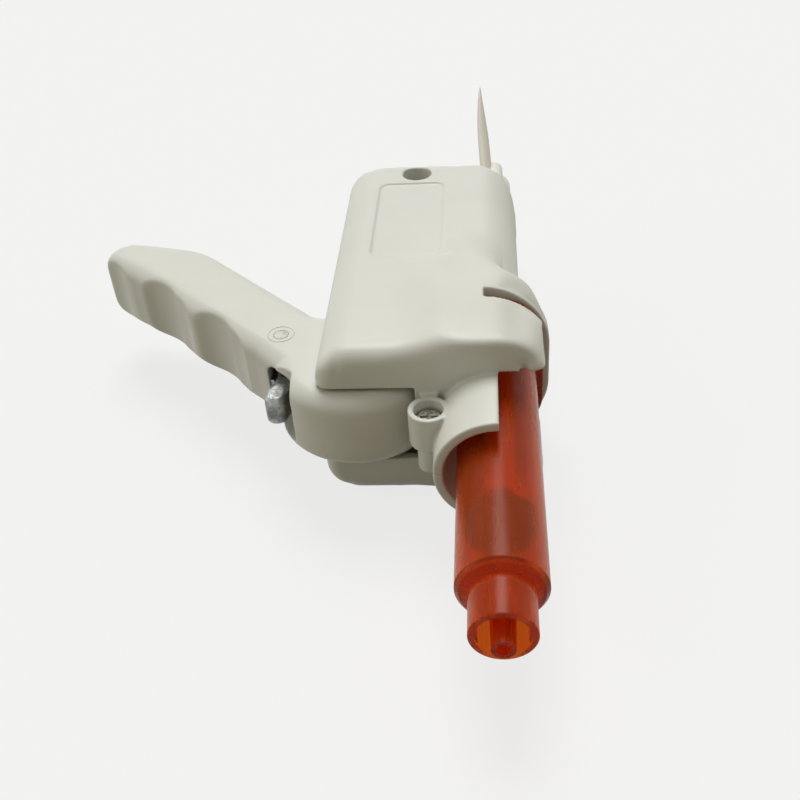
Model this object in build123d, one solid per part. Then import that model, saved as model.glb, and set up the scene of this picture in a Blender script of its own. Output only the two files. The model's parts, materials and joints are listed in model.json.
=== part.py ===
from build123d import *
import math
import os

# Hand-operated lever pump for a Luer-lock syringe. Millimetres.
# Origin: centre of the Luer tip's end. +Y runs back along the syringe barrel, +X to its loading side,
# +Z to the label side. The housing halves mirror each other about z = 0.

# --- driving sizes ---
TIP_R = 2.0                 # Luer tip radius at its end
TIP_BORE_R = 1.2            # fluid bore of the tip
COLLAR_R = 5.73             # Luer collar outside
COLLAR_BORE_R = 4.65        # Luer collar inside
COLLAR_Y0 = 2.5             # collar front
SHOULDER_Y = 11.6           # face between collar and barrel
BARREL_R = 8.0              # barrel outside
BORE_R = BARREL_R - 1.3     # barrel inside
FLANGE_Y = 72.0             # flange front
FLANGE_T = 2.6              # flange thickness
FLANGE_R = 9.6              # flange end radius, half its narrow width
FLANGE_HALF = 16.6          # flange half length

BODY_X0 = -35.5             # housing left face
BODY_X1 = 5.0               # housing right face
BODY_Y0 = 55.0              # housing front face
BODY_Y1 = 139.5             # housing back face
BODY_HALF = 17.0            # label side face above the seam
LOWER_HALF = 18.6           # other side face below the seam
WALL = 2.0                  # shell wall
EDGE_R = 4.0                # housing edge rounding

BULGE_X = -3.7              # centre of the flange holder
BULGE_R = 14.6              # flange holder end radius
BULGE_HALF = 4.6            # flange holder straight half length
LIP_Y0 = 56.0               # front of the lips
SLOT_Y0 = 71.3              # flange slot
SLOT_Y1 = 74.6
RIDGE_Y1 = 78.0             # back of the full ridge
LIP_GAP = 12.5              # half gap between the lips
CRADLE_Y0 = 40.0            # half-ring cradle front
CRADLE_BORE_R = BARREL_R + 2.5  # cradle inside
CRADLE_R = CRADLE_BORE_R + 1.9  # cradle outside
SEAT_R = BARREL_R + 0.5     # inner barrel seat

HUB_X = -28.5               # lever axis
HUB_Y = 68.0
HUB_R = 17.2                # lever hub outside
HUB_BORE_R = 14.3           # lever hub hollow
LEVER_HALF = 8.5            # lever half thickness
SLOT_HALF = 3.0             # half height of the hollow in the hub
LEVER_DEG = 136.4           # lever direction at rest
LEVER_SWING = 32.0          # squeeze angle
AXLE_R = 3.0                # lever axle
YOKE_R = 12.0               # radius of the yoke pin circle
YOKE_PIN_R = 2.0
SPRING_LEG_DEG = 40.0       # free leg of the return spring
SPRING_HOOK_DEG = 200.0     # fixed leg of the return spring

LATCH_X = -45.0             # latch pin
LATCH_Y = 75.0
LATCH_PIN_R = 1.5
LATCH_SLOT_X0 = -47.3       # slot the latch tilts in
LATCH_SLOT_X1 = -40.9

ROD_R = 3.0                 # plunger rod
RUN = 0.05                  # running clearance on radius
TOOTH_PITCH = 2.5
TOOTH_DEPTH = 0.9
RACK_Y0 = 84.0              # toothed length of the rod
RACK_Y1 = BODY_Y1 + 0.5
REAR_BUSH_Y0 = BODY_Y1 - 9.5  # rear guide bush
REAR_BUSH_Y1 = BODY_Y1 - 1.5
HANDLE_Y0 = BODY_Y1 + 6.7    # pull handle front
HANDLE_T = 7.6
HORN_DEG = 40.0             # backward lean of the handle's blade, from level
ROD_Y1 = HANDLE_Y0 + 6.8     # rod back end
PISTON_Y0 = 25.0            # rubber piston front
PISTON_T = 3.2
DRIVE_X, DRIVE_Y = -9.5, 98.0       # drive pawl pivot
HOLD_X, HOLD_Y = -9.5, 118.0        # holding pawl pivot
PAWL_GAP = 0.3              # pawl tip to tooth crest

BOSS_X, BOSS_Y = -13.2, 50.4        # front screw boss
REAR_X = -18.4              # rear screw
REAR_Y = BODY_Y1 - 9.5
SCREW_R = 1.5
HEAD_R = 2.7

os.makedirs("parts", exist_ok=True)


# --- helpers ---
def bar(x0, x1, y0, y1, z0, z1):
    return Pos((x0 + x1) / 2, (y0 + y1) / 2, (z0 + z1) / 2) * Box(x1 - x0, y1 - y0, z1 - z0)


def rod_y(x, z, r, y0, y1):
    return Pos(x, (y0 + y1) / 2, z) * Rot(90, 0, 0) * Cylinder(r, y1 - y0)


def rod_z(x, y, r, z0, z1):
    return Pos(x, y, (z0 + z1) / 2) * Cylinder(r, z1 - z0)


def ring_z(x, y, r_out, r_in, z0, z1):
    return rod_z(x, y, r_out, z0, z1) - rod_z(x, y, r_in, z0 - 1, z1 + 1)


def stadium(x, r, half, y0, y1):
    solid = rod_y(x, half, r, y0, y1) + rod_y(x, -half, r, y0, y1)
    return solid + bar(x - r, x + r, y0, y1, -half, half)


def polar(x, y, r, deg):
    return (x + r * math.cos(math.radians(deg)), y + r * math.sin(math.radians(deg)))


def prism(points, z0, z1):
    face = make_face(Polyline(*points, close=True))
    return Pos(0, 0, z0) * extrude(face, z1 - z0)


def sector(x, y, r, deg0, deg1, z0, z1):
    steps = max(3, int((deg1 - deg0) / 20) + 1)
    far = r / math.cos(math.radians((deg1 - deg0) / steps / 2)) * 1.05
    points = [(x, y)]
    for i in range(steps + 1):
        points.append(polar(x, y, far, deg0 + (deg1 - deg0) * i / steps))
    return prism(points, z0, z1) & rod_z(x, y, r, z0, z1)


def revolve_y(points):
    face = make_face(Polyline(*points, close=True))
    return revolve(face, Axis.Y, 360)


def try_fillet(solid, edges, sizes):
    for size in sizes:
        try:
            done = fillet(edges, size)
            if done.is_valid and abs(done.volume) > 0:
                return done
        except Exception:
            continue
    return solid


def save(shape, name):
    shape.label = name
    export_step(shape, "parts/" + name + ".step")


# --- syringe ---
def syringe_barrel():
    neck_r = TIP_R + 0.35
    front = SHOULDER_Y + 0.9
    back = FLANGE_Y + FLANGE_T
    points = [
        (TIP_BORE_R, 0), (TIP_R, 0), (neck_r, SHOULDER_Y - 1.3), (COLLAR_BORE_R, SHOULDER_Y - 1.3),
        (COLLAR_BORE_R, COLLAR_Y0), (COLLAR_R - 0.2, COLLAR_Y0), (COLLAR_R, COLLAR_Y0 + 0.2),
        (COLLAR_R, SHOULDER_Y - 0.7), (BARREL_R - 0.7, SHOULDER_Y), (BARREL_R, front),
        (BARREL_R, back), (BORE_R, back), (BORE_R, front + 0.5), (TIP_BORE_R, front - 0.6),
    ]
    barrel = revolve_y(points)
    flange = stadium(0, FLANGE_R, FLANGE_HALF - FLANGE_R, FLANGE_Y, back)
    flange = try_fillet(flange, flange.edges().filter_by(Plane.XZ), [0.5, 0.3])
    flange -= rod_y(0, 0, BORE_R, FLANGE_Y - 1, back + 1)
    barrel += flange
    for side in (0, 180):
        lug = Rot(0, side, 0) * bar(COLLAR_BORE_R - 0.55, COLLAR_BORE_R + 0.3, 3.0, 4.6, -2.2, 2.2)
        barrel += lug & rod_y(0, 0, COLLAR_BORE_R + 0.3, 2.6, 6)
    return barrel


def rubber_piston():
    back = PISTON_Y0 + PISTON_T
    r = BORE_R - 0.05
    points = [
        (0, PISTON_Y0 - 1.2), (2.5, PISTON_Y0 - 0.9), (r - 0.5, PISTON_Y0), (r, PISTON_Y0 + 0.3),
        (r, PISTON_Y0 + 0.9), (r - 0.5, PISTON_Y0 + 1.2), (r - 0.5, back - 1.2), (r, back - 0.9),
        (r, back - 0.3), (r - 0.4, back), (0, back),
    ]
    piston = revolve_y(points)
    return piston - rod_y(0, 0, 1.8, back - 1.6, back + 1)


def piston_holder():
    back = PISTON_Y0 + PISTON_T
    holder = rod_y(0, 0, 1.8, back - 1.6, back) + rod_y(0, 0, ROD_R - 0.1, back, back + 4.8)
    return holder + rod_y(0, 0, 1.5, back + 4.8, back + 10)


def plunger_rod():
    front = PISTON_Y0 + PISTON_T + 5.1
    rod = rod_y(0, 0, ROD_R, front, ROD_Y1)
    rod = try_fillet(rod, rod.edges().group_by(Axis.Y)[0], [0.4, 0.2])
    rod -= rod_y(0, 0, 1.5 + RUN, front - 1, front + 5.4)
    count = int((RACK_Y1 - RACK_Y0) / TOOTH_PITCH)
    for i in range(count):
        y = RACK_Y0 + i * TOOTH_PITCH
        face = [(-ROD_R - 1, y), (-ROD_R - 1, y + TOOTH_PITCH), (-ROD_R, y + TOOTH_PITCH * 0.96),
                (-ROD_R + TOOTH_DEPTH, y + TOOTH_PITCH * 0.12), (-ROD_R, y + 0.02)]
        rod -= prism(face, -ROD_R, ROD_R)
    return rod - rod_y(0, 0, 1.1, ROD_Y1 - 7, ROD_Y1 + 1)


def rod_stop_ring():
    y0 = HANDLE_Y0 - 1.7
    return rod_y(0, 0, 4.6, y0, HANDLE_Y0) - rod_y(0, 0, ROD_R, y0 - 1, HANDLE_Y0 + 1)


def guide_bush(y0, y1):
    return rod_y(0, 0, 4.6, y0, y1) - rod_y(0, 0, ROD_R + RUN, y0 - 1, y1 + 1)


def pull_handle():
    hub = bar(-2.6, 2.6, HANDLE_Y0, HANDLE_Y0 + HANDLE_T, -4.4, 7.8)
    hub = try_fillet(hub, hub.edges().filter_by(Axis.Y), [2.2, 1.5, 1.0])
    hub = try_fillet(hub, hub.edges().filter_by(Axis.X), [0.6])
    hub += rod_y(0, 0, 4.6, HANDLE_Y0, HANDLE_Y0 + HANDLE_T)
    # each station: sideways place, distance along the blade, half width, half depth
    stations = [(-1.5, -1.0, 1.5, 2.4), (-2.0, 5.6, 1.5, 2.2), (-2.45, 12.0, 1.35, 1.9),
                (-2.85, 18.4, 0.88, 1.5), (-3.0, 22.8, 0.42, 0.9), (-3.0, 24.8, 0.2, 0.35)]
    lean = (0, math.cos(math.radians(HORN_DEG)), math.sin(math.radians(HORN_DEG)))
    sections = []
    for x, along, rx, ry in stations:
        origin = (x, HANDLE_Y0 + HANDLE_T / 2 + along * lean[1], 6.0 + along * lean[2])
        plane = Plane(origin=origin, x_dir=(1, 0, 0), z_dir=lean)
        sections.append(plane * Ellipse(rx, ry))
    horn = loft(sections)
    handle = hub + horn
    handle -= rod_y(0, 0, ROD_R, HANDLE_Y0 - 1, ROD_Y1)
    return handle - rod_y(0, 0, SCREW_R, ROD_Y1 - 1, ROD_Y1 + 3)


def pull_handle_screw():
    y0 = HANDLE_Y0 + HANDLE_T
    head = rod_y(0, 0, HEAD_R, y0, y0 + 1.8)
    head = try_fillet(head, head.edges().group_by(Axis.Y)[-1], [0.6, 0.3])
    head -= bar(-2.0, 2.0, y0 + 1.2, y0 + 2, -0.35, 0.35)
    head -= bar(-0.35, 0.35, y0 + 1.2, y0 + 2, -2.0, 2.0)
    return head + rod_y(0, 0, 1.1, ROD_Y1 - 6.5, y0) + rod_y(0, 0, SCREW_R, ROD_Y1, y0)


# --- housing ---
def corner_fillet(face, x, y, r):
    corner = face.vertices().sort_by_distance(Vector(x, y, 0))[0]
    return fillet(corner, r)


def plan_block(inset):
    x0, x1 = BODY_X0 + inset, BODY_X1 - inset
    y0, y1 = BODY_Y0 + inset, BODY_Y1 - inset
    face = Pos((x0 + x1) / 2, (y0 + y1) / 2) * Rectangle(x1 - x0, y1 - y0)
    face = corner_fillet(face, x1, y1, 18.0 - inset)
    face = corner_fillet(face, x0, y1, 9.0 - inset)
    face = corner_fillet(face, x0, y0, 3.0 - inset / 2)
    low, high = inset - LOWER_HALF, BODY_HALF - inset
    block = Pos(0, 0, low) * extrude(face, high - low)
    for group in (0, -1):
        rim = block.edges().group_by(Axis.Z)[group]
        block = try_fillet(block, rim, [EDGE_R - inset / 2, EDGE_R - inset, 1.0])
    profile = bar(x0 - 1, x1, y0 - 1, y1 + 1, low, high)
    right = profile.edges().filter_by(Axis.Y).filter_by_position(Axis.X, x1 - 0.1, x1 + 0.1)
    return block & fillet(right, 8.0 - inset)


def bulge_block(inset):
    r = BULGE_R - inset
    lip = stadium(BULGE_X + 0.7, r, BULGE_HALF, LIP_Y0 + inset, SLOT_Y1)
    if inset == 0:
        lip = try_fillet(lip, lip.edges().group_by(Axis.Y)[0], [2.2, 1.2])
    ridge_r = BULGE_R - inset
    y0 = SLOT_Y1 - (1 if inset else 0)
    ridge = stadium(BULGE_X, ridge_r, BULGE_HALF, y0, RIDGE_Y1)
    sections = []
    for y, x, rr in ((RIDGE_Y1, BULGE_X, ridge_r), (83.0, BULGE_X - 2.0, ridge_r - 1.0),
                     (91.0, BULGE_X - 5.6, ridge_r - 2.7)):
        plane = Plane(origin=(x, y, 0), x_dir=(0, 0, 1), z_dir=(0, 1, 0))
        sections.append(plane * SlotOverall(2 * (rr + BULGE_HALF), 2 * rr))
    return lip + ridge + loft(sections)


def hub_clearance():
    return rod_z(HUB_X, HUB_Y, HUB_R + 0.5, -LEVER_HALF - 0.5, LEVER_HALF + 0.5)


def housing_openings():
    z = LEVER_HALF + 0.5
    cuts = [bar(BODY_X0 - 5, -16.0, BODY_Y0 - 5, BODY_Y0 + 4, -z, z)]
    cuts.append(bar(BODY_X0 - 5, BODY_X0 + 5, BODY_Y0 - 5, 118.0, -z, z))
    cuts.append(hub_clearance())
    cuts.append(bar(0, 20, CRADLE_Y0 - 1, SLOT_Y0 + 0.1, -LIP_GAP, LIP_GAP))
    cuts.append(rod_y(0, 0, CRADLE_BORE_R, CRADLE_Y0 - 1, 60.0))
    cuts.append(rod_y(0, 0, SEAT_R, 59.0, SLOT_Y0 + 0.1))
    pocket = stadium(0, FLANGE_R + 0.3, FLANGE_HALF - FLANGE_R, SLOT_Y0, SLOT_Y1)
    cuts.append(pocket)
    cuts.append(bar(0, 20, SLOT_Y0, SLOT_Y1, -FLANGE_HALF - 0.3, FLANGE_HALF + 0.3))
    cuts.append(bar(-2.5, 20, SLOT_Y0, SLOT_Y1, -25, 25))
    cuts.append(rod_y(0, 0, BORE_R + 0.3, SLOT_Y1 - 0.1, RIDGE_Y1))
    cuts.append(rod_y(0, 0, 4.6, RIDGE_Y1 - 0.1, 82.0))
    cuts.append(rod_y(0, 0, ROD_R + 0.4, 80.0, BODY_Y1 + 5))
    cuts.append(rod_y(0, 0, 4.6, REAR_BUSH_Y0, BODY_Y1 + 5))
    return cuts


def label_recess(side):
    face = Pos((-27 - 11.6) / 2, (92.8 + 123.1) / 2) * Rectangle(27 - 11.6, 123.1 - 92.8)
    face = fillet(face.vertices(), 2.0)
    z = BODY_HALF - 0.4 if side > 0 else -LOWER_HALF - 0.2
    return Pos(0, 0, z) * extrude(face, 0.6)


def housing_solid():
    outer = plan_block(0) + bulge_block(0)
    inner = plan_block(WALL) + bulge_block(WALL + 0.2)
    inner -= stadium(BULGE_X, BULGE_R, BULGE_HALF, SLOT_Y0 - 2.0, SLOT_Y1 + 0.1)
    inner -= bar(-12.0, 20, LIP_Y0, SLOT_Y0, -25, -LIP_GAP)
    inner -= bar(-12.0, 20, LIP_Y0, SLOT_Y0, LIP_GAP, 25)
    cradle = rod_y(0, 0, CRADLE_R, CRADLE_Y0, BODY_Y0 + WALL)
    cradle -= bar(0, 20, CRADLE_Y0 - 1, 60, -20, 20)
    inner -= rod_y(0, 0, CRADLE_R, BODY_Y0, SLOT_Y0)
    inner -= rod_y(0, 0, 6.6, RIDGE_Y1 - 4, 82.0)
    inner -= rod_y(0, 0, BORE_R + 2.0, SLOT_Y0, RIDGE_Y1 + 1.6)
    rear = rod_y(0, 0, 5.6, REAR_BUSH_Y0 - 2.0, REAR_BUSH_Y1)
    inner -= rear
    for x, y, r, tip in bosses():
        inner -= rod_z(x, y, r, tip, 30) + rod_z(x, y, r, -30, -tip)
    inner -= guide_ribs()
    solid = outer + cradle + rear - inner
    for cut in housing_openings():
        solid -= cut
    boss = front_boss() - rod_y(0, 0, CRADLE_BORE_R, CRADLE_Y0 - 1, 60)
    return solid + (boss - hub_clearance())


def bosses():
    return [(HUB_X, HUB_Y, 6.0, LEVER_HALF + 0.6), (REAR_X, REAR_Y, 5.2, 0.0),
            (HOLD_X, HOLD_Y, 2.8, 1.3)]


def guide_ribs():
    ribs = bar(-23.4, -21.5, 88, 118, -20, 20)
    for side in (-1, 1):
        z0, z1 = sorted((side * 2.35, side * 20))
        ribs += bar(-21.5, -19.0, 90, 116, z0, z1)
    ribs += bar(-14.6, -12.9, 112, 114.2, -20, 20)
    return ribs


def front_boss():
    boss = rod_z(BOSS_X, BOSS_Y, 4.0, 0, 7.7) + rod_z(BOSS_X, BOSS_Y, 2.6, -6.5, 0)
    web = bar(BOSS_X - 1.6, BOSS_X + 1.6, BOSS_Y, BODY_Y0 + 1, -6.5, 7.7)
    return boss + web


def screw_cuts(side):
    cuts = []
    if side > 0:
        cuts.append(rod_z(REAR_X, REAR_Y, 3.45, 7.0, 30))
        cuts.append(rod_z(REAR_X, REAR_Y, SCREW_R + 0.15, -1, 8))
        cuts.append(rod_z(BOSS_X, BOSS_Y, 2.9, 3.9, 12))
        cuts.append(rod_z(BOSS_X, BOSS_Y, SCREW_R + 0.15, -1, 5))
    else:
        cuts.append(rod_z(REAR_X, REAR_Y, SCREW_R, -10.0, 1))
        cuts.append(rod_z(BOSS_X, BOSS_Y, SCREW_R, -5.2, 1))
    return cuts


def shell(side, solid):
    half = solid & bar(-80, 40, 20, 170, min(0, side * 40), max(0, side * 40))
    half -= label_recess(side)
    half -= rod_z(HUB_X, HUB_Y, AXLE_R, min(0, side * 15.8), max(0, side * 15.8))
    half -= rod_z(HOLD_X, HOLD_Y, 1.0, min(0, side * 8.0), max(0, side * 8.0))
    for cut in screw_cuts(side):
        half -= cut
    return half


def shell_screw(x, y, top, bottom):
    head = rod_z(x, y, HEAD_R, top - 1.8, top)
    head = try_fillet(head, head.edges().group_by(Axis.Z)[-1], [0.7, 0.4])
    head -= bar(x - 1.7, x + 1.7, y - 0.3, y + 0.3, top - 0.9, top + 1)
    head -= bar(x - 0.3, x + 0.3, y - 1.7, y + 1.7, top - 0.9, top + 1)
    return head + rod_z(x, y, SCREW_R, bottom, top - 1.8)


# --- lever ---
def lever_outline():
    points = [(0, -4.2), (60.5, -4.6), (79.4, 6.0), (77.4, 15.6), (62.8, 13.9), (18.0, 12.8), (8.0, 13.6)]
    arm = make_face(Polyline(*points, close=True))
    for point, r in ((points[1], 20.0), (points[2], 6.5), (points[3], 5.0)):
        arm = corner_fillet(arm, *point, r)
    face = arm + Circle(HUB_R)
    x = math.sqrt(HUB_R ** 2 - 4.25 ** 2)
    return corner_fillet(face, x, -4.25, 3.0)


def finger_grooves():
    cuts = []
    for u, v, depth in ((32.5, 13.1, 2.3), (53.0, 13.6, 2.3), (71.5, 15.1, 1.5)):
        cuts.append(rod_z(u, v + 13.0 - depth, 13.0, -12, 12))
        cuts.append(rod_z(u - 3.0, v + 22.0 - depth * 0.7, 22.0, -12, 12))
    return cuts


def lever_blank():
    blank = Pos(0, 0, -LEVER_HALF) * extrude(lever_outline(), 2 * LEVER_HALF)
    for group in (0, -1):
        rim = blank.edges().group_by(Axis.Z)[group]
        blank = try_fillet(blank, rim, [4.0, 3.2, 2.5, 1.5])
    for cut in finger_grooves():
        blank -= cut
    return Pos(HUB_X, HUB_Y, 0) * Rot(0, 0, LEVER_DEG) * blank


def latch_slot():
    slot = bar(LATCH_SLOT_X0, LATCH_SLOT_X1, 54.0, 76.0, -6, 6)
    slot = fillet(slot.edges().filter_by(Axis.Y), 2.2)
    pocket = sector(HUB_X, HUB_Y, HUB_R + 1.5, 145, 182, -SLOT_HALF, SLOT_HALF)
    return slot + pocket + rod_z(LATCH_X, LATCH_Y, 3.2, -SLOT_HALF, SLOT_HALF)


def squeeze_lever():
    lever = lever_blank()
    lever -= rod_z(HUB_X, HUB_Y, HUB_BORE_R, -SLOT_HALF, SLOT_HALF)
    lever -= sector(HUB_X, HUB_Y, HUB_R + 2, -10, 100, -SLOT_HALF, SLOT_HALF)
    lever -= latch_slot()
    lever -= rod_z(HUB_X, HUB_Y, 4.2, -10, 10)
    lever -= ring_z(HUB_X, HUB_Y, 7.2, 5.0, SLOT_HALF - 1, 7.2)
    notch = sector(HUB_X, HUB_Y, 9.4, SPRING_LEG_DEG - 12, SPRING_LEG_DEG + 45, SLOT_HALF - 1, 7.2)
    lever -= notch - rod_z(HUB_X, HUB_Y, 5.0, 0, 9)
    x, y = yoke_centre()
    lever -= rod_z(x, y, YOKE_PIN_R, -8.2, 8.2)
    lever -= rod_z(LATCH_X, LATCH_Y, LATCH_PIN_R, -9, 9)
    for side in (-1, 1):
        z0, z1 = sorted((side * (LEVER_HALF - 0.15), side * (LEVER_HALF + 1)))
        lever -= ring_z(LATCH_X, LATCH_Y, 2.9, 2.6, z0, z1)
    return lever


def yoke_centre():
    return polar(HUB_X, HUB_Y, YOKE_R, LEVER_SWING / 2)


def return_spring():
    turns_deg = 2 * 360 + (SPRING_LEG_DEG - SPRING_HOOK_DEG)
    pitch = 2.4 / (turns_deg / 360)
    path = Helix(pitch, 2.4, 6.1)
    path = Pos(HUB_X, HUB_Y, 4.0) * Rot(0, 0, SPRING_HOOK_DEG) * path
    section = Plane(origin=path @ 0, z_dir=path % 0) * Circle(0.42)
    coil = sweep(section, path=path, is_frenet=True)
    x, y = polar(HUB_X, HUB_Y, 6.1, SPRING_HOOK_DEG)
    coil += rod_z(x, y, 0.42, 1.2, 4.1)
    leg = Rot(0, 90, 0) * Cylinder(0.45, 3.0)
    coil += Pos(HUB_X, HUB_Y, 6.36) * Rot(0, 0, SPRING_LEG_DEG - 1.5) * Pos(7.1, 0, 0) * leg
    return coil


def axle_flat():
    return bar(HUB_X + 2.4, HUB_X + 4, HUB_Y - 4, HUB_Y + 4, -2.0, 2.0)


def lever_axle():
    return rod_z(HUB_X, HUB_Y, AXLE_R, -15.8, 15.8) - axle_flat()


def ratchet_sector():
    plate = rod_z(HUB_X, HUB_Y, 5.4, -2, 2)
    plate += sector(HUB_X, HUB_Y, 9.1, 165, 232, -2, 2)
    for i in range(10):
        deg = 167.5 + 6.2 * i
        notch = [polar(HUB_X, HUB_Y, 9.6, deg), polar(HUB_X, HUB_Y, 8.4, deg + 0.6),
                 polar(HUB_X, HUB_Y, 9.6, deg + 5.4)]
        plate -= prism(notch, -2, 2)
    plate -= rod_z(HUB_X, HUB_Y, AXLE_R, -3, 3) - axle_flat()
    x, y = polar(HUB_X, HUB_Y, 6.1, SPRING_HOOK_DEG)
    return plate - rod_z(x, y, 0.42, 1.2, 3)


def axle_washer(side):
    z0, z1 = sorted((side * (LEVER_HALF + 0.2), side * (LEVER_HALF + 0.6)))
    return ring_z(HUB_X, HUB_Y, 4.8, AXLE_R, z0, z1)


def hub_bush(side):
    z0, z1 = sorted((side * SLOT_HALF, side * LEVER_HALF))
    return ring_z(HUB_X, HUB_Y, 4.2, AXLE_R + RUN, z0, z1)


def yoke_pin():
    x, y = yoke_centre()
    return rod_z(x, y, YOKE_PIN_R, -8.2, 8.2)


# --- latch ---
def latch_lever():
    tip_y = LATCH_Y - 15.8
    body = [(LATCH_X - 1.45, LATCH_Y), (LATCH_X - 1.3, LATCH_Y - 6.8), (LATCH_X - 2.5, tip_y + 3.4),
            (LATCH_X - 2.0, tip_y + 0.8), (LATCH_X - 0.9, tip_y), (LATCH_X + 0.9, tip_y),
            (LATCH_X + 2.0, tip_y + 0.8), (LATCH_X + 2.5, tip_y + 3.4), (LATCH_X + 2.4, LATCH_Y - 6.8),
            (LATCH_X + 1.45, LATCH_Y)]
    tail = prism(body, -2.5, 2.5)
    tail = try_fillet(tail, tail.edges().filter_by(Plane.XY), [0.8, 0.5, 0.3])
    tip_x, tip_y = polar(HUB_X, HUB_Y, 9.4, 215)
    dx, dy = tip_x - LATCH_X, tip_y - LATCH_Y
    size = math.hypot(dx, dy)
    nx, ny = -dy / size, dx / size
    nose = [(LATCH_X + 1.5 * nx, LATCH_Y + 1.5 * ny), (LATCH_X - 1.5 * nx, LATCH_Y - 1.5 * ny),
            (tip_x - 1.4 * nx - 0.8 * dx / size, tip_y - 1.4 * ny - 0.8 * dy / size), (tip_x, tip_y),
            (tip_x + 0.1 * nx - 2.0 * dx / size, tip_y + 0.1 * ny - 2.0 * dy / size)]
    latch = tail + prism(nose, -2, 2) + rod_z(LATCH_X, LATCH_Y, 2.6, -2.5, 2.5)
    return latch - rod_z(LATCH_X, LATCH_Y, LATCH_PIN_R + RUN, -4, 4)


def latch_pin():
    return rod_z(LATCH_X, LATCH_Y, LATCH_PIN_R, -8.4, 8.4)


def latch_spring():
    x = LATCH_SLOT_X0
    leaf = bar(x, x + 0.25, 68.8, 72.0, -1.2, 1.2)
    return leaf + bar(x + 0.2, x + 0.7, 68.8, 69.05, -1.2, 1.2)


# --- carriage and pawls ---
def carriage():
    x, y = yoke_centre()
    plate = bar(-21.2, -12.6, 66.0, 104.0, -2, 2)
    plate = fillet(plate.edges().filter_by(Axis.Z), 1.0)
    plate += bar(-21.2, -16.0, 102.0, 112.0, -2, 2)
    plate += bar(-15.6, DRIVE_X + 3.0, DRIVE_Y - 3.2, DRIVE_Y + 3.2, -3.2, 3.2)
    plate -= bar(-12.6, 0, DRIVE_Y - 5, DRIVE_Y + 5, -1.3, 1.3)
    plate -= bar(-19.3, -14.1, y - YOKE_PIN_R - 0.1, y + YOKE_PIN_R + 0.1, -4, 4)
    return plate - rod_z(DRIVE_X, DRIVE_Y, 1.0, -4, 4)


def pawl(x, y):
    tip_x = -ROD_R - PAWL_GAP
    tip_y = y - 8.0
    size = math.hypot(tip_x - x, tip_y - y)
    nx, ny = (y - tip_y) / size, (tip_x - x) / size
    points = [(x + 2.0 * nx, y + 2.0 * ny), (tip_x, tip_y), (tip_x - 1.3, tip_y - 0.4),
              (x - 2.0 * nx, y - 2.0 * ny)]
    arm = prism(points, -1, 1) + rod_z(x, y, 2.2, -1, 1)
    return arm - rod_z(x, y, 1.0 + RUN, -2, 2)


def pawl_spring(x, y, root_x):
    return bar(root_x, x + 1.5, y - 5.15, y - 4.85, -0.8, 0.8)


def pin_z(x, y, r, half):
    return rod_z(x, y, r, -half, half)


# --- write every piece ---
def pieces():
    housing = housing_solid()
    drive = (DRIVE_X, DRIVE_Y)
    hold = (HOLD_X, HOLD_Y)
    return {
        "upper_shell": shell(1, housing),
        "lower_shell": shell(-1, housing),
        "front_shell_screw": shell_screw(BOSS_X, BOSS_Y, 5.7, -5.2),
        "rear_shell_screw": shell_screw(REAR_X, REAR_Y, 8.8, -10.0),
        "syringe_barrel": syringe_barrel(),
        "front_guide_bush": guide_bush(RIDGE_Y1, 82.0),
        "rear_guide_bush": guide_bush(REAR_BUSH_Y0, REAR_BUSH_Y1),
        "lever_axle": lever_axle(),
        "ratchet_sector": ratchet_sector(),
        "axle_washer_upper": axle_washer(1),
        "axle_washer_lower": axle_washer(-1),
        "return_spring": return_spring(),
        "holding_pawl_pin": pin_z(*hold, 1.0, 8.0),
        "holding_pawl_spring": pawl_spring(*hold, -12.9),
        "holding_pawl": pawl(*hold),
        "squeeze_lever": squeeze_lever(),
        "hub_bush_upper": hub_bush(1),
        "hub_bush_lower": hub_bush(-1),
        "yoke_pin": yoke_pin(),
        "latch_pin": latch_pin(),
        "latch_spring": latch_spring(),
        "latch_lever": latch_lever(),
        "carriage": carriage(),
        "drive_pawl_pin": pin_z(*drive, 1.0, 3.2),
        "drive_pawl_spring": pawl_spring(*drive, -12.6),
        "drive_pawl": pawl(*drive),
        "rubber_piston": rubber_piston(),
        "piston_holder": piston_holder(),
        "plunger_rod": plunger_rod(),
        "rod_stop_ring": rod_stop_ring(),
        "pull_handle": pull_handle(),
        "pull_handle_screw": pull_handle_screw(),
    }


for node, solid in pieces().items():
    save(solid, node)
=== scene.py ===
import json
import math

import bpy
import numpy as np
from mathutils import Matrix, Vector

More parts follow.
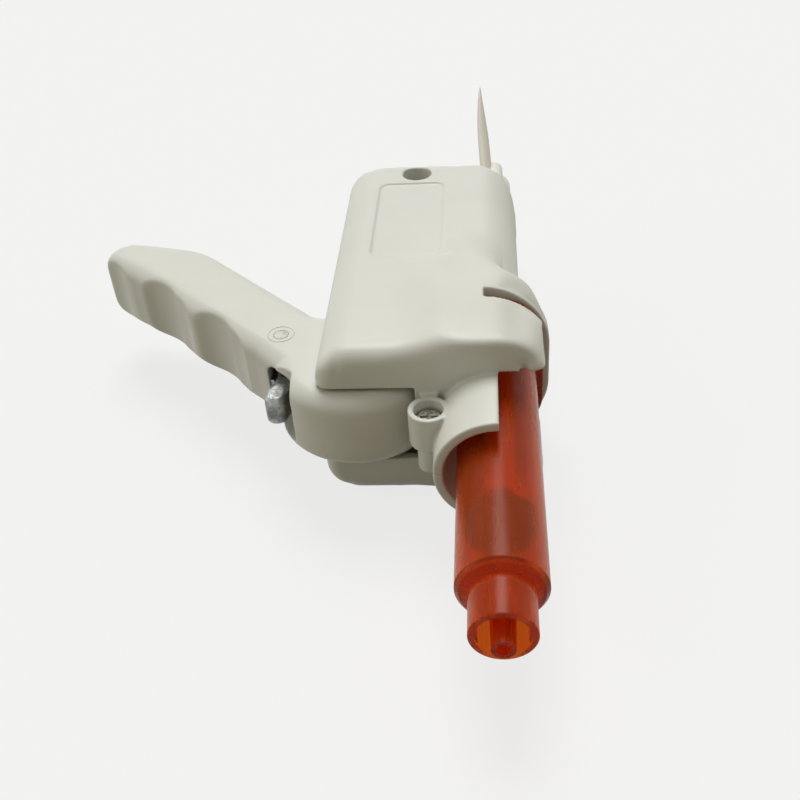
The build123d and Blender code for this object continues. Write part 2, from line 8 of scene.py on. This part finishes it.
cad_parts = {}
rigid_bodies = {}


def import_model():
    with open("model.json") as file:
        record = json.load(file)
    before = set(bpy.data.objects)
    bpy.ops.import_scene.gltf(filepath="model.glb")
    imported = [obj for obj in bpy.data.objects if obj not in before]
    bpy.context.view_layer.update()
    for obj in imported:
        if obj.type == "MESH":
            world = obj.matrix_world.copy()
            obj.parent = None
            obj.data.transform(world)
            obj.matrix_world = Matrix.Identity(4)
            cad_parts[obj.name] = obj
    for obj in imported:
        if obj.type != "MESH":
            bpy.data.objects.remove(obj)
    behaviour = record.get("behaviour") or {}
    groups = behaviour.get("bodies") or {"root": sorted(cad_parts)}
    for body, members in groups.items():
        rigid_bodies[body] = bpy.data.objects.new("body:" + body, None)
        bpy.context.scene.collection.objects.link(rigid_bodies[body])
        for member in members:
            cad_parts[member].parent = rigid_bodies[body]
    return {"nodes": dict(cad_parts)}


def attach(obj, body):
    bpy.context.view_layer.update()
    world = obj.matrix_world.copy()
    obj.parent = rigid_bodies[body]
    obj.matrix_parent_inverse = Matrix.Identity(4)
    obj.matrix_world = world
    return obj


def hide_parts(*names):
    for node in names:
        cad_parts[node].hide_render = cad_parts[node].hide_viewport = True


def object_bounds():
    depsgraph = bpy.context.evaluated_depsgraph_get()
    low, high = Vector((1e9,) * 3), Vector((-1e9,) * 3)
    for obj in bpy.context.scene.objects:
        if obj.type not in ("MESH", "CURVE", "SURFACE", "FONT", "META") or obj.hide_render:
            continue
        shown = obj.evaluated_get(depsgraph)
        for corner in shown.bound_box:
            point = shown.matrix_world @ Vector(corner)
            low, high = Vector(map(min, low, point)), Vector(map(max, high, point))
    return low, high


for leftover in list(bpy.data.objects):
    bpy.data.objects.remove(leftover)

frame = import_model()
CAD_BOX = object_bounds()
NODES = frame["nodes"]
MM = 0.001      # metres in a millimetre; the model is in metres
SCENE = bpy.context.scene


def new_object(name, data):
    """An object in the scene around a mesh, a lamp or a camera."""
    made = bpy.data.objects.new(name, data)
    SCENE.collection.objects.link(made)
    return made


# ---------------------------------------------------------------- node helpers

def new_material(name):
    """An empty node material and its shader."""
    mat = bpy.data.materials.new(name)
    mat.use_nodes = True
    return mat, mat.node_tree, mat.node_tree.nodes["Principled BSDF"]


def add(tree, kind, settings=None, **inputs):
    """A node of this kind, with its settings and its socket values or links."""
    node = tree.nodes.new(kind)
    for key, value in (settings or {}).items():
        setattr(node, key, value)
    for key, value in inputs.items():
        socket = node.inputs[key.replace("_", " ")]
        if isinstance(value, bpy.types.NodeSocket):
            tree.links.new(value, socket)
        else:
            socket.default_value = value
    return node


def place(tree):
    """Object coordinates, in metres."""
    return add(tree, "ShaderNodeTexCoord").outputs["Object"]


def noise(tree, size, detail=2.0, roughness=0.5, where=None):
    """Noise whose features are about this size, in metres."""
    return add(tree, "ShaderNodeTexNoise", Vector=where or place(tree), Scale=1.0 / size,
               Detail=detail, Roughness=roughness).outputs["Fac"]


def fit(tree, value, low, high, to_low, to_high):
    """A value moved from one range to another, and kept inside it."""
    return add(tree, "ShaderNodeMapRange", {"clamp": True}, Value=value, From_Min=low, From_Max=high,
               To_Min=to_low, To_Max=to_high).outputs["Result"]


def blend_colours(tree, fac, first, second):
    """A mix of two colours, each a value or a link."""
    node = tree.nodes.new("ShaderNodeMix")
    node.data_type = "RGBA"
    for socket, value in ((node.inputs[0], fac), (node.inputs[6], first), (node.inputs[7], second)):
        if isinstance(value, bpy.types.NodeSocket):
            tree.links.new(value, socket)
        elif isinstance(value, (int, float)):
            socket.default_value = value
        else:
            socket.default_value = (*value[:3], 1.0)
    return node.outputs[2]


def bump(tree, height, depth, below=None):
    """A bump of this depth, in metres, on top of another normal."""
    node = add(tree, "ShaderNodeBump", Height=height, Distance=depth, Strength=1.0)
    if below is not None:
        tree.links.new(below, node.inputs["Normal"])
    return node.outputs["Normal"]


def scaled(colour, factor):
    """A colour made lighter or darker."""
    return tuple(c * factor for c in colour)


# ---------------------------------------------------------------- materials

def moulded_plastic(name, colour, roughness=0.46, painted_corner_shade=0.5):
    """Spark-eroded moulded plastic: fine grain, faint flow clouds, handling marks, and painted shade
    darkening its corners and creases.
    """
    mat, tree, shader = new_material(name)
    clouds = fit(tree, noise(tree, 22 * MM, 3.0), 0.35, 0.65, 0.0, 1.0)
    base = blend_colours(tree, clouds, scaled(colour, 0.975), scaled(colour, 1.02))
    specks = fit(tree, noise(tree, 0.9 * MM, 2.0), 0.70, 0.76, 0.0, 0.10)
    base = blend_colours(tree, specks, base, scaled(colour, 0.75))
    # painted shade: where ambient occlusion finds a corner or crease, the colour is darkened towards a warm
    # brown
    ao = add(tree, "ShaderNodeAmbientOcclusion", {"samples": 8}, Distance=2.2 * MM).outputs["AO"]
    corner = fit(tree, ao, 0.25, 0.85, painted_corner_shade, 0.0)
    base = blend_colours(tree, corner, base, (colour[0] * 0.62, colour[1] * 0.58, colour[2] * 0.50))
    tree.links.new(base, shader.inputs["Base Color"])
    rub = noise(tree, 9 * MM, 3.0)
    tree.links.new(fit(tree, rub, 0.3, 0.7, roughness - 0.06, roughness + 0.07), shader.inputs["Roughness"])
    shader.inputs["IOR"].default_value = 1.49
    fine = bump(tree, noise(tree, 0.26 * MM, 2.0, 0.6), 0.010 * MM)
    wavy = bump(tree, noise(tree, 7 * MM, 1.0), 0.05 * MM, below=fine)
    tree.links.new(wavy, shader.inputs["Normal"])
    return mat


def amber_plastic(name):
    """Clear amber plastic of the syringe barrel, with the faint haze and flow lines of a moulded tube."""
    mat, tree, shader = new_material(name)
    where = place(tree)
    along = add(tree, "ShaderNodeMapping", Vector=where, Scale=(1.0, 0.12, 1.0)).outputs["Vector"]
    flow = fit(tree, noise(tree, 1.6 * MM, 3.0, where=along), 0.3, 0.7, 0.0, 1.0)
    base = blend_colours(tree, flow, (0.62, 0.106, 0.010), (0.70, 0.138, 0.016))
    tree.links.new(base, shader.inputs["Base Color"])
    tree.links.new(fit(tree, noise(tree, 3 * MM, 2.0, where=along), 0.3, 0.7, 0.20, 0.32),
                   shader.inputs["Roughness"])
    shader.inputs["Transmission Weight"].default_value = 0.78
    shader.inputs["IOR"].default_value = 1.20
    ripple = bump(tree, noise(tree, 2.4 * MM, 2.0, where=along), 0.03 * MM)
    tree.links.new(ripple, shader.inputs["Normal"])
    return mat


def cast_zinc(name):
    """Tumbled die-cast zinc: dull blue grey, mottled, with small pits."""
    mat, tree, shader = new_material(name)
    patch = fit(tree, noise(tree, 2.6 * MM, 4.0, 0.65), 0.36, 0.64, 0.0, 1.0)
    base = blend_colours(tree, patch, (0.15, 0.157, 0.152), (0.41, 0.425, 0.405))
    pits = add(tree, "ShaderNodeTexVoronoi", Vector=place(tree), Scale=1.0 / (0.9 * MM)).outputs["Distance"]
    base = blend_colours(tree, fit(tree, pits, 0.0, 0.22, 0.55, 0.0), base, (0.05, 0.055, 0.06))
    tree.links.new(base, shader.inputs["Base Color"])
    shader.inputs["Metallic"].default_value = 0.85
    dull = fit(tree, noise(tree, 1.5 * MM, 3.0), 0.3, 0.7, 0.34, 0.62)
    tree.links.new(dull, shader.inputs["Roughness"])
    soft = bump(tree, noise(tree, 1.1 * MM, 3.0, 0.6), 0.10 * MM)
    deep = bump(tree, fit(tree, pits, 0.0, 0.3, 0.0, 1.0), 0.05 * MM, below=soft)
    tree.links.new(deep, shader.inputs["Normal"])
    return mat


def steel(name, colour, roughness=0.28):
    """Plated or ground steel with fine turning marks and duller stained patches."""
    mat, tree, shader = new_material(name)
    stain = fit(tree, noise(tree, 1.8 * MM, 4.0, 0.6), 0.42, 0.70, 0.0, 0.75)
    base = blend_colours(tree, stain, colour, scaled(colour, 0.55))
    tree.links.new(base, shader.inputs["Base Color"])
    shader.inputs["Metallic"].default_value = 1.0
    tree.links.new(fit(tree, noise(tree, 0.8 * MM, 2.0), 0.3, 0.7, roughness - 0.07, roughness + 0.14),
                   shader.inputs["Roughness"])
    lines = add(tree, "ShaderNodeMapping", Vector=place(tree), Scale=(1.0, 0.06, 1.0)).outputs["Vector"]
    marks = bump(tree, noise(tree, 0.18 * MM, 2.0, where=lines), 0.02 * MM)
    tree.links.new(marks, shader.inputs["Normal"])
    return mat


def black_rubber(name, colour):
    """Piston rubber: dull, a little bloomed."""
    mat, tree, shader = new_material(name)
    bloom = fit(tree, noise(tree, 2.2 * MM, 3.0), 0.35, 0.7, 0.0, 1.0)
    base = blend_colours(tree, bloom, colour, scaled(colour, 1.9))
    tree.links.new(base, shader.inputs["Base Color"])
    tree.links.new(fit(tree, bloom, 0.0, 1.0, 0.48, 0.66), shader.inputs["Roughness"])
    tree.links.new(bump(tree, noise(tree, 0.3 * MM, 2.0), 0.01 * MM), shader.inputs["Normal"])
    return mat


BODY_COLOUR = (0.685, 0.685, 0.648)
# one material for each slot name that the CAD nodes carry
MATERIALS = {
    "housing_plastic": moulded_plastic("warm_grey_housing", BODY_COLOUR),
    "lever_plastic": moulded_plastic("warm_grey_lever", scaled(BODY_COLOUR, 0.985), roughness=0.44),
    "barrel_plastic": amber_plastic("amber_barrel"),
    "rod_plastic": moulded_plastic("pale_rod", (0.84, 0.83, 0.77), roughness=0.38, painted_corner_shade=0.2),
    "carriage_plastic": moulded_plastic("white_acetal", (0.74, 0.74, 0.72), roughness=0.34, painted_corner_shade=0.2),
    "bush_plastic": moulded_plastic("dark_bush", (0.045, 0.045, 0.048), roughness=0.40, painted_corner_shade=0.1),
    "piston_rubber": black_rubber("piston_black", (0.018, 0.017, 0.017)),
    "latch_zinc": cast_zinc("tumbled_zinc"),
    "screw_steel": steel("plated_screw", (0.60, 0.585, 0.54)),
    "pin_steel": steel("ground_pin", (0.30, 0.29, 0.26), roughness=0.40),
    "spring_steel": steel("drawn_spring", (0.42, 0.42, 0.43), roughness=0.33),
}

SLOT_OF = {}
for name, node in NODES.items():
    SLOT_OF[name] = node.data.materials[0].name.split(".")[0]
    node.data.materials[0] = MATERIALS[SLOT_OF[name]]


# ---------------------------------------------------------------- worked surfaces
# Lengths in this section are in mm. What is multiplied by MM is in metres.

def even_out(piece, voxel):
    """Adds a step that meshes the piece again in even faces of this size, in metres."""
    even = piece.modifiers.new("even", "REMESH")
    even.mode = "VOXEL"
    even.voxel_size = voxel


def prism(name, outline, low, high):
    """A closed prism between two heights, over an outline listed anticlockwise."""
    n = len(outline)
    corners = [(x * MM, y * MM, z * MM) for z in (low, high) for x, y in outline]
    sides = [(i, (i + 1) % n, n + (i + 1) % n, n + i) for i in range(n)]
    mesh = bpy.data.meshes.new(name)
    ends = [tuple(reversed(range(n))), tuple(range(n, 2 * n))]
    mesh.from_pydata(corners, [], ends + sides)
    return new_object(name, mesh)


def apply_steps(piece):
    """Gives the piece the mesh that its modifiers make, and drops them."""
    bpy.context.view_layer.update()
    evaluated = piece.evaluated_get(bpy.context.evaluated_depsgraph_get())
    mesh = bpy.data.meshes.new_from_object(evaluated)
    before = piece.data
    piece.modifiers.clear()
    piece.data = mesh
    mesh.name = piece.name
    bpy.data.meshes.remove(before)
    return mesh


def weld_and_remesh(node, name, voxel, cutter=None):
    """A copy of a CAD node, less a cutter, as an even, closed, smooth mesh that can be worked on."""
    source = NODES[node]
    piece = new_object(name, source.data.copy())
    even_out(piece, voxel)
    if cutter:
        cut = piece.modifiers.new("cut", "BOOLEAN")
        cut.operation = "DIFFERENCE"
        cut.solver = "EXACT"
        cut.object = cutter
        even_out(piece, voxel)
    mesh = apply_steps(piece)
    mesh.materials.clear()
    mesh.materials.append(source.data.materials[0])
    mesh.shade_smooth()
    if cutter:
        bpy.data.objects.remove(cutter)
    return piece


def points_of(mesh):
    """The mesh's points, in metres."""
    co = np.empty(len(mesh.vertices) * 3)
    mesh.vertices.foreach_get("co", co)
    return co.reshape(-1, 3)


def normals_of(mesh):
    """The mesh's normals, one for each point."""
    no = np.empty(len(mesh.vertices) * 3, np.float32)
    mesh.vertex_normals.foreach_get("vector", no)
    return no.reshape(-1, 3).astype(float)


def set_points(mesh, co):
    """Moves the mesh's points, in metres."""
    mesh.vertices.foreach_set("co", co.astype(np.float32).ravel())
    mesh.update()


def relax(mesh, weight, rounds):
    """Laplacian smoothing, as strong at each vertex as its weight."""
    co = points_of(mesh)
    ends = np.empty(len(mesh.edges) * 2, np.int64)
    mesh.edges.foreach_get("vertices", ends)
    a, b = ends.reshape(-1, 2).T
    live = (weight[a] > 0) | (weight[b] > 0)
    a, b = a[live], b[live]
    n = len(co)
    count = np.maximum(np.bincount(a, minlength=n) + np.bincount(b, minlength=n), 1)
    for _ in range(rounds):
        sums = [np.bincount(a, co[b, k], n) + np.bincount(b, co[a, k], n) for k in range(3)]
        total = np.stack(sums, 1)
        co = np.where(weight[:, None] > 0, co + weight[:, None] * (total / count[:, None] - co), co)
    set_points(mesh, co)


def relax_all(mesh, rounds):
    """Takes the steps out of a newly made even mesh."""
    relax(mesh, np.full(len(mesh.vertices), 0.5), rounds)


def ramp(value, low, high):
    """0 below low, 1 above high, smooth between."""
    t = np.clip((value - low) / (high - low), 0.0, 1.0)
    return t * t * (3.0 - 2.0 * t)


# ---- housing shells: the flange holder flows into the body

HOLDER_X, HOLDER_R, HOLDER_HALF = -3.7, 14.6, 4.6     # flange holder's rounded section
HOLDER_TOP = HOLDER_HALF + HOLDER_R
BODY_LOW = np.array([-35.5, 55.0, -18.6])             # body block
BODY_HIGH = np.array([5.0, 139.5, 17.0])
BODY_ROUND = 4.0                                      # its edge radius in CAD
LONG_ROUND, REAR_ROUND = 7.0, 8.0                     # wanted at its long left edges and its rear edges
REAR_CORNERS, FRONT_CORNERS = (18.0, 9.0), (0.5, 3.0)   # corner radii seen from above, right then left
RUN_ON_Y = 76.0                                       # in front of this the left edges are taken as straight
SLOT_LOW, SLOT_HIGH = np.array([-2.5, 71.3]), np.array([99.0, 74.6])        # the flange slot
PANEL_LOW, PANEL_HIGH = np.array([-27.0, 92.8]), np.array([-11.6, 123.1])   # the label panel
PANEL_Y, PANEL_SHIFT = [88.0, 92.8, 123.1, 126.5], [0.0, -1.2, 1.9, 0.0]    # how it is made longer
LIP_Y, LIP_ROUND = 56.0, 2.2                          # front of the lips and its rounding
CREASE_ROUND = 9.0                                    # how far the holder's foot spreads
CREASE_Z = ([60.0, 66.0], [12.8, 10.3])               # y, and the height above which the foot spreads there
FRONT_Y, FRONT_Z = (60.0, 66.0), (12.6, 14.5)         # where the front's smoothing fades, in y, in height
FRONT_LEFT, FRONT_RIGHT = (-21.0, -17.0), (2.0, 6.0)  # and in x
SHELL_VOXEL = 0.27 * MM
SHELL_ROUNDS = 130
FULL_RELAX = 0.9                                      # the strongest weight for relax


def plan_distance(p):
    """Distance from the body's outline seen from above."""
    q = p[:, :2] - (BODY_LOW + BODY_HIGH)[:2] / 2
    right = q[:, 0] > 0
    r = np.where(q[:, 1] > 0, np.where(right, *REAR_CORNERS), np.where(right, *FRONT_CORNERS))
    q = np.abs(q) - (BODY_HIGH - BODY_LOW)[:2] / 2 + r[:, None]
    return np.linalg.norm(np.maximum(q, 0), axis=1) + np.minimum(q.max(1), 0) - r


def body_distance(p):
    """Distance from the body block with its rounded edges."""
    middle, half = (BODY_LOW[2] + BODY_HIGH[2]) / 2, (BODY_HIGH[2] - BODY_LOW[2]) / 2
    q = np.stack([plan_distance(p), np.abs(p[:, 2] - middle) - half], 1) + BODY_ROUND
    return np.linalg.norm(np.maximum(q, 0), axis=1) + np.minimum(q.max(1), 0) - BODY_ROUND


def holder_distance(p):
    """Distance from the flange holder and its slope."""
    y = p[:, 1]
    x = np.interp(y, [71, 78, 83, 91, 99],
                  [HOLDER_X + 0.7, HOLDER_X, HOLDER_X - 2.0, HOLDER_X - 5.6, HOLDER_X - 9])
    r = HOLDER_R - np.interp(y, [78, 83, 91, 99, 108], [0.0, 1.0, 2.7, 4.6, 22.0])
    side = np.hypot(p[:, 0] - x, np.maximum(np.abs(p[:, 2]) - HOLDER_HALF, 0)) - r
    q = np.stack([side, LIP_Y - y], 1) + LIP_ROUND
    return np.linalg.norm(np.maximum(q, 0), axis=1) + np.minimum(q.max(1), 0) - LIP_ROUND


def slope_of(distance, p):
    """Unit direction in which a distance grows."""
    step = 0.05
    changes = [distance(p + step * axis) - distance(p - step * axis) for axis in np.eye(3)]
    grown = np.stack(changes, 1)
    return grown / np.maximum(np.linalg.norm(grown, axis=1), 1e-9)[:, None]


def rounder(s, t, old, new):
    """Moves points in towards a larger rounding of an edge; s and t run out of its new centre."""
    d = np.maximum(np.hypot(s, t), 1e-9)
    c, e = np.clip(s / d, 0, 1), np.clip(t / d, 0, 1)
    m = new - old
    arc = m * (c + e) + np.sqrt(np.maximum((m * (c + e)) ** 2 - 2 * m * m + old * old, 0))
    flat = new / np.maximum(np.maximum(c, e), 1e-9)
    edge = np.where(flat * np.minimum(c, e) <= m, flat, arc)
    shift = np.where((s > 0) & (t > 0), edge - new, 0.0) * ramp(d, 0.3 * new, 0.7 * new)
    return s * (1 - shift / d), t * (1 - shift / d)


def rounder_body(p):
    """The body's left edges and rear edges, as round as in the photograph."""
    p, run_on = p.copy(), p.copy()
    run_on[:, 1] = np.maximum(run_on[:, 1], RUN_ON_Y)
    weight = 1.0 - ramp(body_distance(p), 0.3, 1.0)
    out, depth = slope_of(plan_distance, run_on), plan_distance(run_on)
    left = (LONG_ROUND - BODY_ROUND) * ramp(-out[:, 0], 0.0, 0.7)
    on_right = out[:, 0] > 0    # the wide corner's edge gets rounder only where it faces nearly straight back
    start, end = np.where(on_right, 0.75, 0.0), np.where(on_right, 1.0, 0.7)
    rear = (REAR_ROUND - BODY_ROUND) * ramp(out[:, 1], start, end)
    new = BODY_ROUND + np.maximum(left, rear)
    for side, edge in ((-1, BODY_LOW[2]), (1, BODY_HIGH[2])):
        s, t = depth + new, side * (p[:, 2] - edge) + new
        s2, t2 = rounder(s, t, BODY_ROUND, new)
        p += out * ((s2 - s) * weight)[:, None]
        p[:, 2] += side * (t2 - t) * weight
    return p


def from_box(p, low, high):
    """Distance from a rectangle seen from above."""
    return np.linalg.norm(np.maximum(np.maximum(low - p[:, :2], p[:, :2] - high), 0), axis=1)


def shell_piece(node, name):
    """A shell whose flange holder flows into the body, with rounder edges and a longer label panel."""
    piece = weld_and_remesh(node, name, SHELL_VOXEL)
    mesh = piece.data
    relax_all(mesh, 1)
    p = points_of(mesh) / MM
    normal = normals_of(mesh)
    a, b = body_distance(p), holder_distance(p)
    # the lips' front comes level with the body's front
    forwards = ramp(a, 0.1, 1.5) * (1.0 - ramp(p[:, 1], 57.0, 62.0))
    p[:, 1] -= forwards * ramp(b, -4.0, -2.0) * ramp(p[:, 1], 55.5, 56.0)
    # only the outside moves, and neither the slot's edge nor the label panel does
    outward = ramp(np.minimum(a, b), -1.4, -0.7) * ramp(normal[:, 2] * np.sign(p[:, 2]), -0.2, 0.1)
    from_slot = from_box(p, SLOT_LOW, SLOT_HIGH)
    low = np.interp(p[:, 1], *CREASE_Z)
    free = ramp(from_slot, 0.6, 4.0) * ramp(from_box(p, PANEL_LOW, PANEL_HIGH), 0.7, 3.0)
    free *= ramp(np.abs(p[:, 2]), low, low + 2.2)
    # the foot of the holder is filled where its surface and the body's meet at an angle
    leaning = np.sum(slope_of(body_distance, p) * slope_of(holder_distance, p), axis=1)
    apart = ramp(np.sqrt(1.0 - np.clip(leaning, -1.0, 1.0) ** 2), 0.08, 0.45)
    rise = outward * free * apart
    rise = rise * np.maximum(CREASE_ROUND - np.abs(a - b), 0) ** 2 / (4 * CREASE_ROUND)
    normal[:, 1] *= ramp(p[:, 1], 58.0, 64.0)
    p += normal * rise[:, None]
    p[:, 2] = np.clip(p[:, 2], -HOLDER_TOP, HOLDER_TOP)
    set_points(mesh, p * MM)
    # what was filled is smoothed, and so is the roll along the front
    crease = free * (1.0 - ramp(np.maximum(a, b), 2.0, 8.0))
    front = (1.0 - ramp(p[:, 1], *FRONT_Y)) * ramp(np.abs(p[:, 2]), *FRONT_Z)
    front *= ramp(p[:, 0], *FRONT_LEFT) * (1.0 - ramp(p[:, 0], *FRONT_RIGHT))
    keep = ramp(from_slot, 0.5, 3.0) * outward
    relax(mesh, FULL_RELAX * np.maximum(crease, front) * keep, SHELL_ROUNDS)
    p = rounder_body(points_of(mesh) / MM)
    beside = 1.0 - ramp(from_box(p, PANEL_LOW, PANEL_HIGH), 1.0, 3.5)
    p[:, 1] += beside * np.interp(p[:, 1], PANEL_Y, PANEL_SHIFT)
    set_points(mesh, p * MM)
    return piece


# ---- squeeze lever: soft finger grooves, and a hub cut away beside the latch

HUB = np.array([-28.5, 68.0])          # lever axis
LEVER_DEG = 136.4                      # the way the lever points
LEVER_HALF = 8.5                       # its half thickness
LEVER_VOXEL = 0.3 * MM
GRIP = (24.0, 31.0)                    # where the grooved part starts, from the axis
GRIP_ROUNDS = 22
POCKET = ((-49.0, 69.4), (-49.0, 50.0), (-41.0, 50.0), (-41.0, 61.8))
POCKET_FLOOR, POCKET_TOP = -6.0, 9.5
PIN = np.array([-45.0, 75.0])          # latch pin
RING_R, RING_SECTION_R = 2.75, 0.10    # the moulded ring around it
RING_STEPS, RING_SECTION_STEPS = 96, 10


def lever_piece():
    """The lever with its grooves softened and the hub cut away beside the latch."""
    cutter = prism("pocket_cutter", POCKET, POCKET_FLOOR, POCKET_TOP)
    piece = weld_and_remesh("squeeze_lever", "lever_skin", LEVER_VOXEL, cutter)
    mesh = piece.data
    relax_all(mesh, 2)
    p = points_of(mesh) / MM
    turn = math.radians(LEVER_DEG)
    along = (p[:, 0] - HUB[0]) * math.cos(turn) + (p[:, 1] - HUB[1]) * math.sin(turn)
    relax(mesh, FULL_RELAX * ramp(along, *GRIP), GRIP_ROUNDS)
    return piece


def pin_ring(name, z):
    """The fine moulded ring around the latch pin, on one face of the lever."""
    corners, faces = [], []
    for i in range(RING_STEPS):
        turn = 2 * math.pi * i / RING_STEPS
        for j in range(RING_SECTION_STEPS):
            roll = 2 * math.pi * j / RING_SECTION_STEPS
            r = (RING_R + RING_SECTION_R * math.cos(roll)) * MM
            x = PIN[0] * MM + r * math.cos(turn)
            y = PIN[1] * MM + r * math.sin(turn)
            corners.append((x, y, (z + RING_SECTION_R * math.sin(roll)) * MM))
            here, after = i * RING_SECTION_STEPS, (i + 1) % RING_STEPS * RING_SECTION_STEPS
            beside = (j + 1) % RING_SECTION_STEPS
            faces.append((here + j, after + j, after + beside, here + beside))
    mesh = bpy.data.meshes.new(name)
    mesh.from_pydata(corners, [], faces)
    mesh.materials.append(MATERIALS[SLOT_OF["squeeze_lever"]])
    mesh.shade_smooth()
    ring = new_object(name, mesh)
    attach(ring, "lever")


# ---- latch: a thick bar that leans to the right and ends in a rounded bulb

LATCH_VOXEL = 0.2 * MM
TAIL_Y = (69.0, 71.0)                  # the tail lies in front of this
TAIL_BEND = ([59.0, 62.0, 66.0, 70.0], [-0.2, 0.1, 0.8, 0.9])    # y, and how far it moves in x there
TAIL_THICKER = 0.35
TAIL_ROUNDS = 12


def latch_piece():
    """The latch with its tail bent and made thicker."""
    piece = weld_and_remesh("latch_lever", "latch_casting", LATCH_VOXEL)
    mesh = piece.data
    relax_all(mesh, 3)
    p = points_of(mesh) / MM
    tail = 1.0 - ramp(p[:, 1], *TAIL_Y)
    p[:, 0] += tail * np.interp(p[:, 1], *TAIL_BEND)
    p[:, 2] *= 1.0 + TAIL_THICKER * tail
    set_points(mesh, p * MM)
    relax(mesh, FULL_RELAX * tail, TAIL_ROUNDS)
    return piece


# ---- the worked pieces ride on their bodies in place of the CAD nodes

MOST_TRIANGLES = 180_000


def thin_out(piece):
    """Fewer triangles where the surface is flat, down to a set number."""
    mesh = piece.data
    mesh.calc_loop_triangles()
    count = len(mesh.loop_triangles)
    if count > MOST_TRIANGLES:
        thin = piece.modifiers.new("thin", "DECIMATE")
        thin.ratio = MOST_TRIANGLES / count
        apply_steps(piece)


pin_ring("pin_ring_upper", LEVER_HALF)
pin_ring("pin_ring_lower", -LEVER_HALF)
PIECES = [(shell_piece("upper_shell", "upper_shell_skin"), "upper_shell", "housing"),
          (shell_piece("lower_shell", "lower_shell_skin"), "lower_shell", "housing"),
          (lever_piece(), "squeeze_lever", "lever"),
          (latch_piece(), "latch_lever", "latch")]
for made, cad_node, its_body in PIECES:
    thin_out(made)
    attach(made, its_body)
    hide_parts(cad_node)


# ---------------------------------------------------------------- stage

BACKDROP = (0.896, 0.896, 0.896)   # what the camera sees behind the object
GLOW, LIT = 0.86, (0.135, 0.135, 0.135)   # the seen floor's own light, and the part of it that takes shadow
BOUNCE = (0.25, 0.23, 0.150)       # what the floor gives back to the object
SKY = (0.228, 0.218, 0.160)        # what the world gives to the object
FLOOR_R, FLOOR_STEPS = 6.0, 64     # in metres
FLOOR_GAP = 0.0003                 # below the object, in metres


def camera_sees(tree):
    """1 for the camera, and for gloss and glass, which show the backdrop too; 0 for other rays."""
    path = tree.nodes.new("ShaderNodeLightPath")
    seen = add(tree, "ShaderNodeMath", {"operation": "ADD"})
    tree.links.new(path.outputs["Is Camera Ray"], seen.inputs[0])
    tree.links.new(path.outputs["Is Transmission Ray"], seen.inputs[1])
    seen_too = add(tree, "ShaderNodeMath", {"operation": "ADD", "use_clamp": True})
    tree.links.new(seen.outputs[0], seen_too.inputs[0])
    tree.links.new(path.outputs["Is Glossy Ray"], seen_too.inputs[1])
    return seen_too.outputs[0]


def seen_or_dim(tree, out, seen, dim):
    """Sends one shader to what the camera sees and another to the rest."""
    mix = tree.nodes.new("ShaderNodeMixShader")
    tree.links.new(camera_sees(tree), mix.inputs[0])
    tree.links.new(dim.outputs[0], mix.inputs[1])
    tree.links.new(seen.outputs[0], mix.inputs[2])
    tree.links.new(mix.outputs[0], out.inputs["Surface"])


def stage_material():
    """Seen as the pale backdrop with the object's soft shadow; dim to the rays that light the object."""
    mat = bpy.data.materials.new("studio_floor")
    mat.use_nodes = True
    tree = mat.node_tree
    tree.nodes.clear()
    out = tree.nodes.new("ShaderNodeOutputMaterial")
    glow = add(tree, "ShaderNodeEmission", Color=(*BACKDROP, 1), Strength=GLOW)
    lit = add(tree, "ShaderNodeBsdfDiffuse", Color=(*LIT, 1))
    both = tree.nodes.new("ShaderNodeAddShader")
    tree.links.new(glow.outputs[0], both.inputs[0])
    tree.links.new(lit.outputs[0], both.inputs[1])
    dim = add(tree, "ShaderNodeBsdfDiffuse", Color=(*BOUNCE, 1))
    seen_or_dim(tree, out, both, dim)
    return mat


def make_floor():
    """A wide round floor under the object, kept out of the model."""
    mesh = bpy.data.meshes.new("floor")
    z = CAD_BOX[0].z - FLOOR_GAP
    turns = np.linspace(0, 2 * math.pi, FLOOR_STEPS, endpoint=False)
    corners = [(FLOOR_R * math.cos(a), FLOOR_R * math.sin(a), z) for a in turns]
    mesh.from_pydata(corners, [], [list(range(FLOOR_STEPS))])
    floor = new_object("floor", mesh)
    mesh.materials.append(stage_material())


def make_world():
    """The pale backdrop where it is seen, and a dim warm light on the object."""
    world = bpy.data.worlds.new("studio")
    SCENE.world = world
    world.use_nodes = True
    tree = world.node_tree
    tree.nodes.clear()
    out = tree.nodes.new("ShaderNodeOutputWorld")
    bright = add(tree, "ShaderNodeBackground", Color=(*BACKDROP, 1), Strength=1.0)
    dim = add(tree, "ShaderNodeBackground", Color=(*SKY, 1), Strength=1.0)
    seen_or_dim(tree, out, bright, dim)


def sun(name, strength, towards, angle, colour=(1, 1, 1)):
    """A soft distant lamp shining along this direction."""
    data = bpy.data.lights.new(name, "SUN")
    data.energy = strength
    data.angle = math.radians(angle)
    data.color = colour
    lamp = new_object(name, data)
    lamp.rotation_mode = "QUATERNION"
    lamp.rotation_quaternion = Vector(towards).to_track_quat("-Z", "Y")


CAMERA_AT = Vector((-0.00109, -0.10377, 0.13255))
CAMERA_RIGHT = Vector((0.99601, 0.05791, -0.06792))
CAMERA_UP = Vector((0.01704, 0.62365, 0.78152))
CAMERA_BACK = Vector((0.08762, -0.77956, 0.62017))


def make_camera():
    """The camera at the photograph's viewing angle."""
    data = bpy.data.cameras.new("camera")
    data.lens = 47.25
    data.sensor_width = 36.0
    data.clip_start = 0.01
    camera = new_object("camera", data)
    axes = Matrix((CAMERA_RIGHT, CAMERA_UP, CAMERA_BACK)).transposed().to_4x4()
    camera.matrix_world = Matrix.Translation(CAMERA_AT) @ axes
    SCENE.camera = camera


make_floor()
make_world()
sun("key", 2.08, (0.05, -0.6, -1.0), 32)
sun("side", 0.25, (-0.9, -0.1, -0.45), 50, (1.0, 0.97, 0.90))
sun("lever_side", 0.8, (0.95, 0.02, -0.35), 50, (1.0, 0.98, 0.90))
make_camera()
SCENE.view_settings.view_transform = "Standard"
